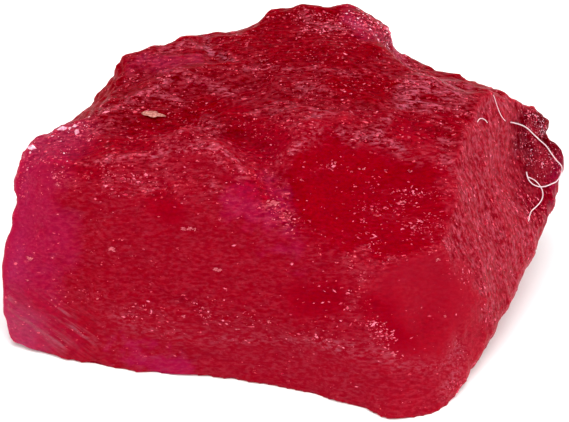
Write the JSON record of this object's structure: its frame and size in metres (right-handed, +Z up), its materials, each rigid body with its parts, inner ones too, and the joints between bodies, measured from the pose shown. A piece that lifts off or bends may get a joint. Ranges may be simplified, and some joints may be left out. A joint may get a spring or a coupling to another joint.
{
  "type": "raw ruby crystal",
  "caption": "Rough ruby crystal chunk: broken facets, a rough ledged top, a waxy smooth front and a flat face that it rests on.",
  "frame": {"origin": "middle of the bottom of the stone's bounding box, on the flat face that it rests on", "axes": "+X along the longest side, +Y from the smooth front face to the back, +Z up"},
  "size_m": [0.024, 0.0164, 0.0111],
  "materials": {
    "ruby_crystal": "waxy translucent deep red stone, smooth on its fresh faces, matte and granular on its rough ones"
  },
  "bodies": {
    "root": {"ruby_crystal": "ruby_crystal"}
  },
  "joints": []
}
